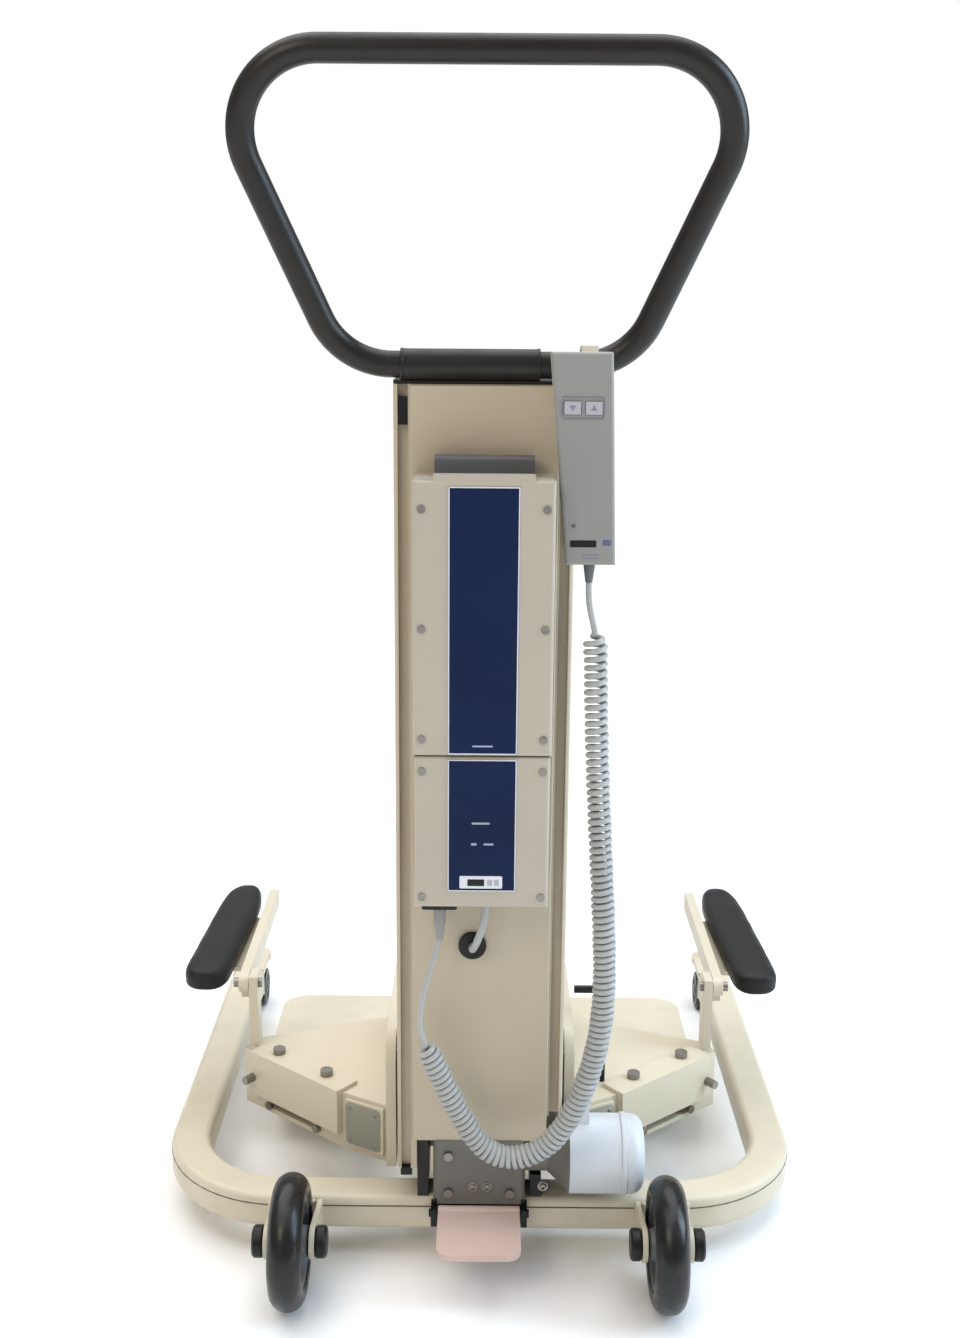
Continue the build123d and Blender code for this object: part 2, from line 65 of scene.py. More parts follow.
# ---------- materials ----------
class Finish:
    """A material with its shader, and short ways to add nodes."""

    def __init__(self, name, **sockets):
        self.material = bpy.data.materials.new(name)
        self.material.use_nodes = True
        self.tree = self.material.node_tree
        self.shader = self.tree.nodes["Principled BSDF"]
        for socket, value in sockets.items():
            self.shader.inputs[socket.replace("_", " ")].default_value = value
        self.place = self.add("ShaderNodeTexCoord").outputs["Object"]

    def add(self, kind, inputs=None, **settings):
        node = self.tree.nodes.new(kind)
        for key, value in settings.items():
            setattr(node, key, value)
        for key, value in (inputs or {}).items():
            if isinstance(value, bpy.types.NodeSocket):
                self.tree.links.new(value, node.inputs[key])
            else:
                node.inputs[key].default_value = value
        return node

    def noise(self, scale, detail=3.0, stretch=None):
        place = self.place
        if stretch:
            place = self.add("ShaderNodeMapping", {"Vector": place, "Scale": stretch}).outputs[0]
        inputs = {"Vector": place, "Scale": scale, "Detail": detail}
        return self.add("ShaderNodeTexNoise", inputs).outputs["Fac"]

    def spread(self, value, low, high, out_low=0.0, out_high=1.0):
        inputs = {"Value": value, "From Min": low, "From Max": high}
        inputs.update({"To Min": out_low, "To Max": out_high})
        return self.add("ShaderNodeMapRange", inputs).outputs["Result"]

    def blend(self, factor, first, second):
        node = self.add("ShaderNodeMix", data_type="RGBA")
        for socket, value in ((0, factor), (6, first), (7, second)):
            if isinstance(value, bpy.types.NodeSocket):
                self.tree.links.new(value, node.inputs[socket])
            else:
                node.inputs[socket].default_value = value
        return node.outputs[2]

    def edges(self, radius):
        """1 along sharp edges and 0 on flat faces, with the rounded normal."""
        rounded = self.add("ShaderNodeBevel", {"Radius": radius}, samples=4).outputs[0]
        true = self.add("ShaderNodeNewGeometry").outputs["Normal"]
        dot = self.add("ShaderNodeVectorMath", {0: rounded, 1: true}, operation="DOT_PRODUCT")
        return self.spread(dot.outputs["Value"], 0.97, 0.7), rounded

    def bump(self, height, strength, distance, normal=None):
        inputs = {"Height": height, "Strength": strength, "Distance": distance}
        if normal is not None:
            inputs["Normal"] = normal
        return self.add("ShaderNodeBump", inputs).outputs["Normal"]

    def set(self, **sockets):
        for socket, value in sockets.items():
            self.tree.links.new(value, self.shader.inputs[socket.replace("_", " ")])


def shade(colour, factor):
    return (colour[0] * factor, colour[1] * factor, colour[2] * factor, 1)


def moulded(name, colour, roughness, grain, depth, worn=1.12, bevel=0.0008, tone=0.9, **sockets):
    """Paint or plastic: cloudy tone, fine surface texture, edges worn a little."""
    made = Finish(name, **sockets)
    cloud = made.spread(made.noise(9, 4), 0.35, 0.7)
    specks = made.spread(made.noise(150, 2), 0.62, 0.75, 0, 0.35)
    edge, rounded = made.edges(bevel)
    body = made.blend(cloud, shade(colour, 1), shade(colour, tone))
    body = made.blend(specks, body, shade(colour, tone * 0.92))
    made.set(Base_Color=made.blend(edge, body, shade(colour, worn)))
    made.set(Roughness=made.spread(made.noise(35), 0.3, 0.7, roughness - 0.07, roughness + 0.08))
    texture = made.noise(grain, 2)
    made.set(Normal=made.bump(texture, 0.35, depth, rounded))
    return made.material


def powder_coat(name, colour, dirt):
    """Orange-peel paint, dusty near the floor and rubbed at the edges."""
    made = Finish(name, Specular_IOR_Level=0.45)
    height = made.add("ShaderNodeSeparateXYZ", {0: made.place}).outputs["Z"]
    low = made.spread(height, 0.11, 0.02, 0, 0.28)
    patches = made.spread(made.noise(28, 5), 0.42, 0.68)
    grime = made.add("ShaderNodeMath", {0: low, 1: patches}, operation="MULTIPLY").outputs[0]
    cloud = made.spread(made.noise(5, 3), 0.3, 0.75)
    edge, rounded = made.edges(0.0009)
    scuffs = made.spread(made.noise(60, 6, (1, 1, 5)), 0.66, 0.72, 0, 0.6)
    body = made.blend(cloud, shade(colour, 1), shade(colour, 0.93))
    body = made.blend(grime, body, dirt)
    rub = made.add("ShaderNodeMath", {0: edge, 1: scuffs}, operation="MULTIPLY").outputs[0]
    made.set(Base_Color=made.blend(rub, body, (0.3, 0.29, 0.27, 1)))
    made.set(Roughness=made.spread(made.noise(40), 0.3, 0.7, 0.33, 0.47))
    peel = made.noise(620, 1.5)
    made.set(Normal=made.bump(peel, 0.22, 0.0002, rounded))
    return made.material


def metal(name, colour, roughness, stretch=(1, 1, 12)):
    """Bare or plated metal with fine drawn scratches and dull spots."""
    made = Finish(name, Metallic=1.0)
    lines = made.noise(190, 4, stretch)
    spots = made.spread(made.noise(70, 5), 0.55, 0.7)
    edge, rounded = made.edges(0.0004)
    body = made.blend(spots, shade(colour, 1), shade(colour, 0.72))
    made.set(Base_Color=made.blend(edge, body, shade(colour, 1.25)))
    made.set(Roughness=made.spread(lines, 0.3, 0.7, roughness - 0.08, roughness + 0.12))
    made.set(Normal=made.bump(lines, 0.12, 0.0002, rounded))
    return made.material


def rubber(name, colour, roughness):
    """Tyre rubber: glossy where it is scuffed smooth, dusty in broad patches."""
    made = Finish(name, Specular_IOR_Level=0.4)
    dust = made.spread(made.noise(45, 6), 0.5, 0.72, 0, 0.5)
    made.set(Base_Color=made.blend(dust, shade(colour, 1), (0.028, 0.026, 0.025, 1)))
    made.set(Roughness=made.spread(made.noise(60, 4), 0.3, 0.75, roughness - 0.08, roughness + 0.2))
    made.set(Normal=made.bump(made.noise(900, 2), 0.3, 0.00015))
    return made.material


def skin_foam(name, colour):
    """The leathery skin of moulded armrest foam."""
    made = Finish(name, Specular_IOR_Level=0.28)
    inputs = {"Vector": made.place, "Scale": 620.0, "Randomness": 1.0}
    grain = made.add("ShaderNodeTexVoronoi", inputs, feature="DISTANCE_TO_EDGE").outputs["Distance"]
    cells = made.spread(grain, 0.0, 0.22)
    polish = made.spread(made.noise(16, 3), 0.4, 0.65)
    made.set(Base_Color=made.blend(polish, shade(colour, 1), shade(colour, 1.7)))
    made.set(Roughness=made.spread(polish, 0, 1, 0.3, 0.5))
    wrinkles = made.bump(made.noise(110, 4), 0.25, 0.0006)
    made.set(Normal=made.bump(cells, 0.5, 0.00025, wrinkles))
    return made.material


def printed_film(name, colour):
    """Label film: deep printed colour under a thin clear coat."""
    made = Finish(name, Coat_Weight=0.03, Coat_Roughness=0.3, Specular_IOR_Level=0.14)
    tone = made.spread(made.noise(7, 3), 0.3, 0.7)
    made.set(Base_Color=made.blend(tone, shade(colour, 1), shade(colour, 0.72)))
    made.set(Roughness=made.spread(made.noise(50, 3), 0.3, 0.7, 0.36, 0.5))
    made.set(Normal=made.bump(made.noise(420, 2), 0.15, 0.0001))
    return made.material


CREAM = (0.63, 0.57, 0.44)
BEIGE = (0.51, 0.44, 0.325)
FLOOR_DIRT = (0.42, 0.36, 0.27, 1)
MATERIALS = {
    "cream_paint": powder_coat("cream_powder_coat", CREAM, FLOOR_DIRT),
    "beige_paint": powder_coat("beige_powder_coat", BEIGE, FLOOR_DIRT),
    "black_coat": moulded("black_handle_coat", (0.014, 0.012, 0.0105), 0.38, 700, 0.0002, 2.2,
                          Specular_IOR_Level=0.32),
    "black_plastic": moulded("black_plastic", (0.006, 0.006, 0.006), 0.42, 800, 0.0002, 2.2,
                             Specular_IOR_Level=0.3),
    "case_plastic": moulded("case_plastic", (0.46, 0.415, 0.345), 0.44, 950, 0.00018, 1.15,
                            tone=0.95),
    "label_blue": printed_film("label_film", (0.003, 0.014, 0.062)),
    "dark_grey_plastic": moulded("dark_grey_plastic", (0.10, 0.105, 0.115), 0.42, 800, 0.0002, 1.5),
    "handset_grey": moulded("handset_grey", (0.275, 0.272, 0.262), 0.46, 1000, 0.0002, 1.4),
    "handset_cream": moulded("handset_cream", (0.74, 0.70, 0.60), 0.42, 1000, 0.00015, 1.12),
    "key_grey": moulded("key_rubber", (0.42, 0.42, 0.46), 0.5, 900, 0.0002, 1.2),
    "cord_grey": moulded("cord_jacket", (0.40, 0.412, 0.405), 0.34, 600, 0.0001, 1.05, 0.0002),
    "tyre": rubber("tyre_rubber", (0.006, 0.006, 0.0065), 0.26),
    "pad_black": skin_foam("pad_skin", (0.005, 0.005, 0.005)),
    "pedal_pink": moulded("pedal_enamel", (0.63, 0.455, 0.40), 0.42, 500, 0.00025, 1.15, 0.0015),
    "gear_grey": moulded("gearbox_paint", (0.155, 0.148, 0.13), 0.5, 260, 0.0005, 1.7, 0.0012),
    "motor_grey": moulded("motor_paint", (0.62, 0.65, 0.69), 0.34, 520, 0.0002, 1.1, 0.0012),
    "steel": metal("zinc_plate", (0.27, 0.255, 0.23), 0.38),
    "bronze": metal("bronze", (0.58, 0.40, 0.22), 0.38),
    "board_green": moulded("circuit_board", (0.02, 0.16, 0.06), 0.5, 300, 0.0003, 1.3),
    "cell_grey": moulded("battery_cell", (0.12, 0.12, 0.13), 0.5, 400, 0.0003, 1.3),
}
CHROME = metal("dark_zinc", (0.33, 0.31, 0.29), 0.42)
GUSSET_PAINT = moulded("gusset_paint", (0.30, 0.29, 0.23), 0.42, 500, 0.0002, 1.4, 0.0006)
# Near-black brown for the painted shadow line under the chassis tube's top flange.
FLANGE_SHADOW_COLOUR = moulded("flange_shadow_strip", (0.10, 0.085, 0.06), 0.6, 500, 0.0001, 1.2)
WHITE_INK = moulded("white_ink", (0.72, 0.74, 0.80), 0.45, 700, 0.0001, 1.05)
PALE_INK = moulded("pale_ink", (0.34, 0.38, 0.52), 0.5, 700, 0.0001, 1.05)
VIOLET_INK = moulded("violet_ink", (0.23, 0.22, 0.28), 0.5, 700, 0.0001, 1.1)
BLUE_LENS = moulded("blue_mark", (0.10, 0.12, 0.26), 0.25, 700, 0.0001, 1.1)


def cad_materials():
    """The CAD nodes' own slots get the finished materials."""
    slots = {}
    for entry in frame["record"]["materials"]:
        for node in entry.get("nodes", []):
            slots[node] = entry["slot"]
    for name, piece in frame["nodes"].items():
        slot = slots.get(name) or piece.data.materials[0].name.split(".")[0]
        finish = MATERIALS["handset_grey" if name == "cord_plug" else slot]
        piece.data.materials.clear()
        piece.data.materials.append(finish)


# ---------- mesh helpers ----------
def shell(name, rings, body, finish, closed=False, ends=True, sharp=35):
    """A skin over rings of points, closed at its ends or round on itself."""
    count = len(rings[0])
    points = [p for ring in rings for p in ring]
    faces = []
    steps = len(rings) if closed else len(rings) - 1
    for i in range(steps):
        here = i * count
        there = (i + 1) % len(rings) * count
        for j in range(count):
            k = (j + 1) % count
            faces.append((here + j, here + k, there + k, there + j))
    if ends and not closed:
        faces.append(tuple(range(count))[::-1])
        faces.append(tuple((len(rings) - 1) * count + j for j in range(count)))
    mesh = bpy.data.meshes.new(name)
    mesh.from_pydata([tuple(p) for p in points], [], faces)
    mesh.validate()
    mesh.materials.append(finish)
    piece = bpy.data.objects.new(name, mesh)
    bpy.context.scene.collection.objects.link(piece)
    outward(mesh)
    mesh.shade_smooth()
    mesh.set_sharp_from_angle(angle=math.radians(sharp))
    if body:
        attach(piece, body)
    return piece


def outward(mesh):
    """Turns every face to look out of the piece."""
    work = bmesh.new()
    work.from_mesh(mesh)
    bmesh.ops.recalc_face_normals(work, faces=work.faces)
    work.to_mesh(mesh)
    work.free()


def sweep(points, radius, sides, closed=False):
    """Rings round a line of points, turned as little as possible.

    radius may be a function of the share of the way along.
    """
    rings = []
    count = len(points)
    across = None
    for i, point in enumerate(points):
        before = points[i - 1] if i or closed else point
        after = points[(i + 1) % count] if i + 1 < count or closed else point
        along = (after - before).normalized()
        if across is None:
            across = along.orthogonal().normalized()
        across = (across - along * across.dot(along)).normalized()
        up = along.cross(across)
        size = radius(i / (count - 1)) if callable(radius) else radius
        ring = []
        for k in range(sides):
            turn = 2 * math.pi * k / sides
            ring.append(point + across * size * math.cos(turn) + up * size * math.sin(turn))
        rings.append(ring)
    return rings


def lathe(name, profile, centre, body, finish, segments=96, axis="X", closed=True, sharp=35):
    """A profile of (radius, place along the axis) in mm, turned about the centre."""
    rings = []
    for i in range(segments):
        turn = 2 * math.pi * i / segments
        c, s = math.cos(turn), math.sin(turn)
        ring = []
        for r, a in profile:
            offset = {"X": (a, r * c, r * s), "Y": (r * c, a, r * s), "Z": (r * c, r * s, a)}[axis]
            ring.append(centre + Vector(offset) / 1000)
        rings.append(ring)
    if closed:
        return shell(name, rings, body, finish, closed=True, sharp=sharp)
    turned = [list(ring) for ring in zip(*rings)]
    return shell(name, turned, body, finish, sharp=sharp)


def arc(centre_r, centre_a, radii, start, end, steps):
    """Profile points along an ellipse of radii (outward, along the axis), angles in degrees."""
    made = []
    for i in range(steps + 1):
        turn = math.radians(start + (end - start) * i / steps)
        made.append((centre_r + radii[0] * math.sin(turn), centre_a + radii[1] * math.cos(turn)))
    return made


def rounded_rectangle(x0, x1, z0, z1, corner, steps=5):
    """Outline points in X and Z, anticlockwise."""
    made = []
    for cx, cz, first in ((x1 - corner, z1 - corner, 0), (x0 + corner, z1 - corner, 90),
                          (x0 + corner, z0 + corner, 180), (x1 - corner, z0 + corner, 270)):
        for i in range(steps + 1):
            turn = math.radians(first + 90 * i / steps)
            made.append((cx + corner * math.cos(turn), cz + corner * math.sin(turn)))
    return made


def plate(name, x0, x1, z0, z1, y0, y1, corner, body, finish):
    """A thin plate facing the rear, with rounded corners and a softened front edge."""
    lip = min(0.25, (y1 - y0) / 2, (x1 - x0) / 5, (z1 - z0) / 5)
    outer = rounded_rectangle(x0, x1, z0, z1, corner)
    inner = rounded_rectangle(x0 + lip, x1 - lip, z0 + lip, z1 - lip, max(corner - lip, 0.1))
    rings = [[at(x, y1, z) for x, z in outer], [at(x, y0 + lip, z) for x, z in outer]]
    rings.append([at(x, y0, z) for x, z in inner])
    return shell(name, rings, body, finish)


def outline(name, x0, x1, z0, z1, y, corner, thick, body, finish):
    """A raised line round a rounded rectangle."""
    path = [at(x, y, z) for x, z in rounded_rectangle(x0, x1, z0, z1, corner)]
    return shell(name, sweep(path, thick / 2000, 6, closed=True), body, finish, closed=True)


# ---------- camera ----------
CAMERA_PLACE = (0.0011, -1.5815, 0.9291)
CAMERA_PITCH = 13.6       # degrees down from level
CAMERA_YAW = -0.165
CAMERA_ROLL = -0.42
FOCAL_LENGTH = 41.2       # mm, on a sensor of this height
SENSOR_HEIGHT = 36


def camera():
    """A standing person's view from behind, tilted down a little."""
    pitch, yaw, roll = (math.radians(a) for a in (CAMERA_PITCH, CAMERA_YAW, CAMERA_ROLL))
    level = math.cos(pitch)
    ahead = Vector((math.sin(yaw) * level, math.cos(yaw) * level, -math.sin(pitch)))
    right = ahead.cross(Vector((0, 0, 1))).normalized()
    down = ahead.cross(right)
    x_axis = right * math.cos(roll) + down * math.sin(roll)
    y_axis = right * math.sin(roll) - down * math.cos(roll)
    data = bpy.data.cameras.new("camera")
    data.sensor_fit = "VERTICAL"
    data.sensor_height = SENSOR_HEIGHT
    data.lens = FOCAL_LENGTH
    data.clip_end = 50
    viewer = bpy.data.objects.new("camera", data)
    turn = Matrix((x_axis, y_axis, -ahead)).transposed().to_4x4()
    viewer.matrix_world = Matrix.Translation(Vector(CAMERA_PLACE)) @ turn
    bpy.context.scene.collection.objects.link(viewer)
    bpy.context.scene.camera = viewer


# ---------- curly cord ----------
# The line that the cord follows, from the handset down to its plug, in mm.
CORD_UPPER = [(91.5, 36, 689.7), (91.5, 36, 678), (93, 35.7, 666), (96, 35, 654), (98.6, 34.4, 642)]
CORD_COIL = [(101, 30, 555), (106, 24, 465), (111, 18, 385), (113.5, 14, 325), (111, 12.5, 275),
             (101, 12, 229), (85, 12, 187), (66, 12, 160), (46, 12, 147), (23, 12, 144.5),
             (2, 12, 156), (-14, 12.5, 181), (-32, 13, 218), (-51, 14, 260)]
CORD_LOWER = [(-56, 16, 277), (-54.5, 18.5, 297), (-50, 22, 317), (-44, 26.5, 338),
              (-38.5, 30, 358)]
WIRE = 5.4                # cord diameter in mm
WIRE_SIDES = 9
COIL_R = 8.25             # from the coil's middle to the middle of the cord
PITCH_TOP = 7.4           # stretched by its own weight near the handset
PITCH_LOW = 5.7
TURN_POINTS = 18
COIL_START_Z = 0.645      # height in metres where the curls begin
COIL_RAMP = 0.009         # metres over which the curls open to their full size
STRAIGHT_STEP = 0.0015    # metres between points where the cord is straight
COIL_WOBBLE = 0.025


def spline_line(points):
    """Points along the smooth line that these control."""
    data = bpy.data.curves.new("route", "CURVE")
    data.dimensions = "3D"
    data.resolution_u = 24
    line = data.splines.new("NURBS")
    line.points.add(len(points) - 1)
    for knot, (x, y, z) in zip(line.points, points):
        knot.co = (*at(x, y, z), 1)
    line.order_u = 3
    line.use_endpoint_u = True
    holder = bpy.data.objects.new("route", data)
    bpy.context.scene.collection.objects.link(holder)
    mesh = bpy.data.meshes.new_from_object(holder)
    found = [v.co.copy() for v in mesh.vertices]
    bpy.data.objects.remove(holder)
    bpy.data.meshes.remove(mesh)
    return found


class Line:
    """A line of points read by the distance along it."""

    def __init__(self, points):
        self.points = points
        self.marks = [0.0]
        for a, b in zip(points, points[1:]):
            self.marks.append(self.marks[-1] + (b - a).length)
        self.length = self.marks[-1]
        self.index = 0

    def read(self, mark):
        while self.index + 2 < len(self.points) and self.marks[self.index + 1] < mark:
            self.index += 1
        a, b = self.points[self.index], self.points[self.index + 1]
        run = self.marks[self.index + 1] - self.marks[self.index]
        share = min(max((mark - self.marks[self.index]) / run, 0), 1)
        return a.lerp(b, share), (b - a).normalized()


def curly_cord():
    """Straight tails and a helix between them, bent between the chassis and the handset."""
    route = Line(spline_line(CORD_UPPER + CORD_COIL + CORD_LOWER))
    places = range(len(route.points))
    starts = route.marks[min(places, key=lambda i: abs(route.points[i].z - COIL_START_Z))]
    tail = at(*CORD_COIL[-1])
    ends = route.marks[min(places, key=lambda i: (route.points[i] - tail).length)]
    points = []
    mark, turn, across = 0.0, 0.0, None
    while mark < route.length:
        share = min(max((mark - starts) / (ends - starts), 0), 1)
        inside = min(mark - starts, ends - mark) / COIL_RAMP
        lift = min(max(inside, 0), 1)
        lift = lift * lift * (3 - 2 * lift)
        pitch = (PITCH_TOP + (PITCH_LOW - PITCH_TOP) * min(share * 1.6, 1)) / 1000
        centre, along = route.read(mark)
        if across is None:
            across = along.orthogonal().normalized()
        across = (across - along * across.dot(along)).normalized()
        side = along.cross(across)
        wobble = 1 + COIL_WOBBLE * math.sin(turn * 0.173)
        reach = COIL_R / 1000 * lift * wobble
        points.append(centre + (across * math.cos(turn) + side * math.sin(turn)) * reach)
        if lift > 0:
            turn += 2 * math.pi / TURN_POINTS
            mark += pitch / TURN_POINTS
        else:
            mark += STRAIGHT_STEP
    points.append(route.points[-1])
    rings = sweep(points, WIRE / 2000, WIRE_SIDES)
    cord = shell("curly_cord", rings, None, MATERIALS["cord_grey"])
    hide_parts("cord_upper", "cord_coil", "cord_lower")
    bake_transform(cord)


# ---------- wheels ----------
CROWN_R = 15              # how far the tyre's crown stands out of its side walls, in mm
TYRE_HALF_W = 16
RIB_COUNT = 6
RIB_TURN = 15             # degrees of the first rib from level
RIB_HALF_W = 2.2
RIB_FOOT = 5.0            # from the wheel's middle plane
TWIN_OFFSET = 13          # from a castor's middle to each of its wheels


def mirrored(profile):
    """The profile in reverse order on the other side of the wheel's middle plane."""
    return [(r, -a) for r, a in reversed(profile)]


def rear_wheels():
    """Tyres with a pointed crown on dished, ribbed hubs."""
    for word in SIDES:
        low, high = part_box(f"rear_wheel_{word}")
        centre = (low + high) / 2
        outer = (high.z - low.z) * 500
        side_half = [(outer - 20.5, 12.6), (outer - 19, 14.4), (outer - 17.5, 15.2)]
        side_half += arc(outer - CROWN_R, 0, (CROWN_R, TYRE_HALF_W), 0, 90, 14)
        profile = side_half + mirrored(side_half[:-1])
        body = f"wheel_{word}"
        tyre = lathe(f"tyre_{word}", profile, centre, body, MATERIALS["tyre"], 128,
                     sharp=50)
        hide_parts(f"rear_wheel_{word}")
        half_hub = [(7.2, 17.5), (12.5, 17.5), (14.5, 16), (15, 12.5), (17, 8), (24, 5.4)]
        half_hub += [(33, 5.8), (36.5, 8.5), (38, 12.2), (39.5, 13.2), (42.2, 13.2), (42.6, 12.5)]
        hub = half_hub + mirrored(half_hub)
        lathe(f"wheel_hub_{word}", hub, centre, body, MATERIALS["dark_grey_plastic"])
        ribs(word, centre, body)


def ribs(word, centre, body):
    """Stiffening ribs on both faces of a hub, from the boss to the rim."""
    for face in (-1, 1):
        for i in range(RIB_COUNT):
            turn = math.radians(360 / RIB_COUNT * i + RIB_TURN)
            out = Vector((0, math.cos(turn), math.sin(turn)))
            wide = Vector((0, -math.sin(turn), math.cos(turn)))
            rings = []
            for r, height in ((14.2, 11.0), (22, 8.6), (31, 8.4), (37.6, 11.4)):
                foot, top, top_w = RIB_FOOT * face, height * face, RIB_HALF_W * 0.6
                base = centre + out * r / 1000
                ring = []
                for across, level in ((-RIB_HALF_W, foot), (-top_w, top),
                                      (top_w, top), (RIB_HALF_W, foot)):
                    ring.append(base + wide * across / 1000 + Vector((level / 1000, 0, 0)))
                rings.append(ring)
            name = f"hub_rib_{word}_{'inner' if face < 0 else 'outer'}_{i}"
            shell(name, rings, body, MATERIALS["dark_grey_plastic"])


def castor_wheels():
    """Twin wheels: a flat tyre on a dished hub, twice on each castor."""
    for word in SIDES:
        low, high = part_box(f"castor_wheels_{word}")
        middle = (low + high) / 2
        body = f"castor_roller_{word}"
        first = None
        for offset, name in ((-TWIN_OFFSET, "inner"), (TWIN_OFFSET, "outer")):
            centre = middle + Vector((offset / 1000, 0, 0))
            tyre = [(17, 5.4), (19.5, 6.2), (22.5, 6.0), (24.3, 4.2), (25, 1.6), (25, 0)]
            tyre += mirrored(tyre[:-1])
            tyre += [(16.6, -4.6), (16.6, 4.6)]
            made = lathe(f"castor_tyre_{word}_{name}", tyre, centre, body, MATERIALS["tyre"],
                         72, sharp=50)
            first = first or made
            hub = [(4.4, 6.3), (7.5, 6.3), (8.6, 5.2), (9.5, 3.4)]
            hub += [(15, 3.6), (16.2, 5), (17.3, 5.3)]
            hub += mirrored(hub)
            lathe(f"castor_hub_{word}_{name}", hub, centre, body, MATERIALS["dark_grey_plastic"],
                  72)
        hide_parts(f"castor_wheels_{word}")


# ---------- armrest pads ----------
PAD_LENGTH = 262          # mm
PAD_WIDTH = 49
PAD_TOE = 2.2             # degrees that the front ends point outward
PAD_STATIONS = 72
PAD_SIDES = 56
FRONT_END, REAR_END = 5.5, 14     # powers of the ends' curves: a low one is rounder
GROOVE_LEVEL = -0.42      # the lip line's place, as a share of the half height
DENT = 0.0007             # metres


def rounded(value, power):
    """A power that keeps the sign."""
    return math.copysign(abs(value) ** power, value)


def arm_pads():
    """Moulded foam: crowned top, pulled-in sides, a lip line and soft ends."""
    for word, side in SIDES.items():
        low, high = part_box(f"arm_pad_{word}")
        centre = (low + high) / 2
        half = Vector((PAD_WIDTH, PAD_LENGTH, (high.z - low.z) * 1000)) / 2000
        turned = Matrix.Rotation(math.radians(PAD_TOE) * side, 3, "Z")
        rings = []
        for i in range(PAD_STATIONS + 1):
            t = -math.cos(math.pi * i / PAD_STATIONS)
            sharpness = FRONT_END if t > 0 else REAR_END
            end = max(1 - abs(t) ** sharpness, 0.0) ** (1 / 2.4)
            fall = max(1 - abs(t) ** (sharpness + 4), 0.0) ** (1 / 3)
            slim = 1 - 0.05 * (t + 1) / 2
            width = half.x * max(end, 0.012) * slim
            top = half.z * (0.30 + 0.70 * fall) * (1 - 0.10 * (t + 1) / 2)
            foot = half.z * (0.55 + 0.45 * fall)
            ring = []
            for k in range(PAD_SIDES):
                turn = 2 * math.pi * k / PAD_SIDES
                c, s = math.cos(turn), math.sin(turn)
                power = 0.62 if s > 0 else 0.42
                height = top if s > 0 else foot
                x = width * rounded(c, 0.62)
                z = height * rounded(s, power)
                crown = 1 - 0.045 * (z / half.z + 0.3) ** 2
                groove = math.exp(-((z / half.z - GROOVE_LEVEL) / 0.07) ** 2)
                x *= crown * (1 - 0.035 * groove)
                point = centre + turned @ Vector((x, half.y * t, z))
                dent = noise.noise(point * 38 + Vector((3.1 * side, 0, 0))) * DENT
                point += Vector((0, 0, dent if s > 0.2 else 0))
                ring.append(point)
            rings.append(ring)
        pad = shell(f"arm_cushion_{word}", rings, f"armrest_{word}", MATERIALS["pad_black"],
                    sharp=70)
        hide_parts(f"arm_pad_{word}")


# ---------- welds ----------
WELD_STEP = 0.55          # mm between rings
RIPPLE = 2.2              # mm from one ripple to the next
FORK_WELD_X = (158, 163, 201, 206)      # both faces of both fork plates
POST_WELD_X = (239.5, 249.5)
TIP_WELD_X = (288, 326)


def weld(name, start, end, body, size=2.6):
    """A rippled bead of weld between two points in mm."""
    a, b = at(*start), at(*end)
    steps = max(int((b - a).length * 1000 / WELD_STEP), 8)
    points = [a.lerp(b, i / steps) for i in range(steps + 1)]
    length = (b - a).length

    def radius(share):
        ripple = 0.86 + 0.14 * abs(math.sin(share * length * 1000 * math.pi / RIPPLE))
        lump = 1 + 0.12 * noise.noise(Vector((share * 9, start[0] * 0.1, start[2] * 0.1)))
        cap = min(share, 1 - share) * length * 1000 / size
        return size / 1000 * ripple * lump * min(1, 0.35 + cap)

    rings = sweep(points, radius, 10)
    return shell(name, rings, body, MATERIALS["cream_paint"], sharp=80)


def welds():
    """Beads at the wheel forks, the armrest posts and the leg tips."""
    for word, side in SIDES.items():
        for i, x in enumerate(FORK_WELD_X):
            weld(f"fork_weld_{word}_{i}", (side * x, 70, 33), (side * x, 70, 62), "chassis")
        for i, x in enumerate(POST_WELD_X):
            weld(f"post_weld_{word}_{i}", (side * x, 239, 137), (side * x, 263, 137),
                 "carriage", 2)
        weld(f"post_weld_{word}_rear", (side * 241, 238, 137), (side * 248, 238, 137),
             "carriage", 2)
        for i, x in enumerate(TIP_WELD_X):
            weld(f"tip_weld_{word}_{i}", (side * x, 590, 31), (side * x, 590, 62), "chassis", 2)


# ---------- frame details ----------
# Where the painted shadow line runs, under the chassis tube's overhanging top flange:
SHADOW_LINE_X = 326.9            # the tube's outer face, in mm
SHADOW_LINE_REAR = 70.1          # its rear face
SHADOW_LINE_CORNER = 130
SHADOW_LINE_Z = 55.5
WING_EDGE = (Vector((94, 120)), Vector((141, 146)))     # the inner part of a wing's rear edge
GUSSET_FACE = (5, 47, 84, 131)    # along that edge from 5 to 47, and up from 84 to 131
GUSSET_STEPS = ((3.9, 0), (4.5, 0), (4.8, 0.5))         # how far each ring stands out and in
GUSSET_RIVETS = ((11, 90), (11, 125), (41, 90), (41, 125))


def chassis_flange_shadow():
    """A dark strip painted as the shadow under the chassis tube's overhanging top flange, round the
    tube's outside.
    """
    half = [(SHADOW_LINE_X, y) for y in range(585, 205, -20)]
    for i in range(13):
        turn = math.pi / 2 * i / 12
        x = SHADOW_LINE_X - SHADOW_LINE_CORNER + SHADOW_LINE_CORNER * math.cos(turn)
        half.append((x, SHADOW_LINE_REAR + SHADOW_LINE_CORNER * (1 - math.sin(turn))))
    half += [(x, SHADOW_LINE_REAR) for x in range(180, 0, -20)]
    path = half + [(-x, y) for x, y in reversed(half)]
    points = [at(x, y, SHADOW_LINE_Z) for x, y in path]
    shell("chassis_flange_shadow", sweep(points, 0.0008, 6), "chassis", FLANGE_SHADOW_COLOUR)


